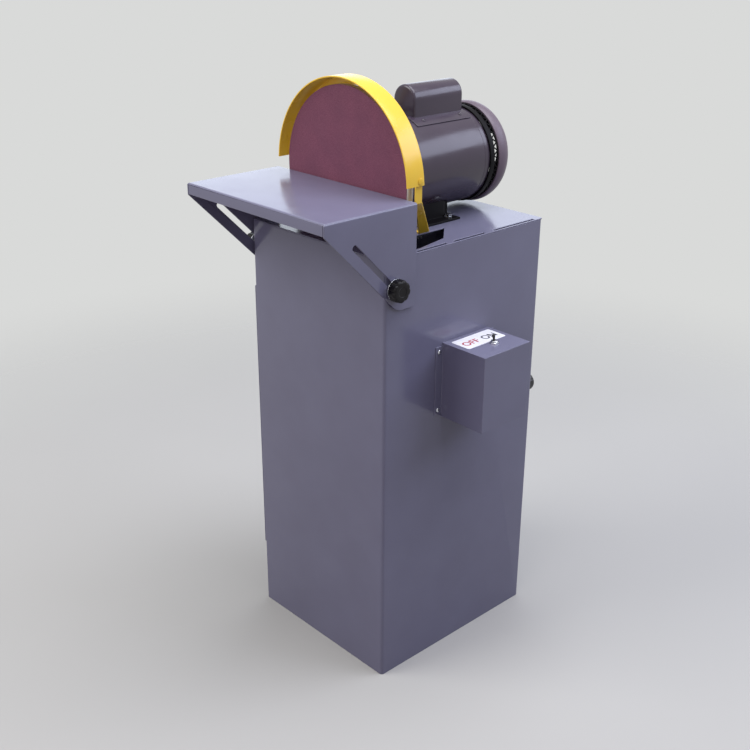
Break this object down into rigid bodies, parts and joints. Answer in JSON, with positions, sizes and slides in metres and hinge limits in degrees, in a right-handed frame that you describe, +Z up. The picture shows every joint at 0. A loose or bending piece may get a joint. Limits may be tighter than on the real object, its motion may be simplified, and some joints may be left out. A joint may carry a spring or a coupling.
{
  "type": "disc sander",
  "caption": "Floor-standing disc sander: sheet-metal cabinet, tilting slotted table, direct-driven abrasive disc under a half-round guard, and a side switch box.",
  "frame": {"origin": "centre of the cabinet's foot, on the floor", "axes": "+X to the operator's right, +Y to the rear along the spindle, +Z up"},
  "size_m": [0.4788, 0.562, 1.0895],
  "materials": {
    "grey_enamel": "glossy blue-grey machine enamel",
    "bare_plate": "plain steel plate",
    "zinc": "bright zinc-plated fasteners",
    "motor_enamel": "semi-gloss dark grey-brown motor enamel",
    "motor_black": "black painted vent ring",
    "lamination_steel": "ground and stamped motor steel",
    "winding_copper": "varnished copper wire",
    "black_oxide": "black oxide screws",
    "yellow_enamel": "glossy yellow guard enamel",
    "disc_aluminium": "turned cast aluminium",
    "hub_iron": "machined cast iron",
    "abrasive_cloth": "red-brown aluminium oxide cloth",
    "knob_black": "black phenolic knobs",
    "insert_brass": "brass thread inserts",
    "black_nylon": "black nylon and phenolic",
    "grommet_rubber": "black rubber grommet",
    "white_plate": "white switch plate"
  },
  "bodies": {
    "cabinet": {"cabinet_wrap": "grey_enamel", "rear_panel": "grey_enamel", "access_panel": "grey_enamel", "switch_box_back": "grey_enamel", "switch_box_cover": "grey_enamel", "deck_plate": "grey_enamel", "motor_stiffener": "bare_plate", "base_pan": "bare_plate", "pivot_plates": "bare_plate", "rear_panel_screws": "zinc", "access_panel_screws": "zinc", "table_studs": "zinc", "spacer_washers": "zinc", "motor_foot_bolts": "zinc", "end_cap_screws": "zinc", "capacitor_cover_screws": "zinc", "guard_bolts": "zinc", "switch_box_screws": "zinc", "toggle_nut": "zinc", "motor_base": "motor_enamel", "motor_shell": "motor_enamel", "front_end_bell": "motor_enamel", "rear_end_bell": "motor_enamel", "end_cap": "motor_enamel", "capacitor_cover": "motor_enamel", "vent_ring": "motor_black", "stator_core": "lamination_steel", "front_bearing": "lamination_steel", "rear_bearing": "lamination_steel", "stator_windings": "winding_copper", "disc_guard": "yellow_enamel", "guard_legs": "yellow_enamel", "cable_gland": "black_nylon", "gland_lock_nut": "black_nylon", "toggle_body": "black_nylon", "start_capacitor": "black_nylon", "wire_grommet": "grommet_rubber", "switch_plate": "white_plate"},
    "spindle": {"motor_shaft": "lamination_steel", "rotor": "lamination_steel", "cooling_fan": "black_nylon", "disc_hub": "hub_iron", "shaft_key": "lamination_steel", "hub_set_screws": "black_oxide", "disc_plate": "disc_aluminium", "disc_screws": "black_oxide", "abrasive_sheet": "abrasive_cloth"},
    "trunnion": {"slot_bushes": "zinc", "clamp_washers": "zinc"},
    "table": {"table": "grey_enamel"},
    "knob_right": {"clamp_knob_right": "knob_black", "knob_insert_right": "insert_brass"},
    "knob_left": {"clamp_knob_left": "knob_black", "knob_insert_left": "insert_brass"},
    "toggle": {"toggle_lever": "black_nylon"}
  },
  "joints": [
    {"name": "spindle_spin", "type": "hinge", "parent": "cabinet", "child": "spindle", "pos_m": [0, 0, 0.922], "axis": [0, 1, 0], "continuous": true},
    {"name": "table_tilt", "type": "hinge", "parent": "cabinet", "child": "trunnion", "pos_m": [0, -0.183, 0.773], "axis": [1, 0, 0], "range_deg": [0, 45]},
    {"name": "table_slide", "type": "slide", "parent": "trunnion", "child": "table", "axis": [0, 0.7071, -0.7071], "range_m": [0, 0.112]},
    {"name": "clamp_knob_right_turn", "type": "hinge", "parent": "cabinet", "child": "knob_right", "pos_m": [0.193, -0.183, 0.773], "axis": [1, 0, 0], "range_deg": [0, 360]},
    {"name": "clamp_knob_left_turn", "type": "hinge", "parent": "cabinet", "child": "knob_left", "pos_m": [-0.193, -0.183, 0.773], "axis": [-1, 0, 0], "range_deg": [0, 360]},
    {"name": "toggle_throw", "type": "hinge", "parent": "cabinet", "child": "toggle", "pos_m": [0.239, 0.0065, 0.6485], "axis": [0, 1, 0], "range_deg": [0, 26]}
  ],
  "couplings": [
    {"joint": "table_slide", "follows": "table_tilt", "m_per_rad": 0.14}
  ]
}
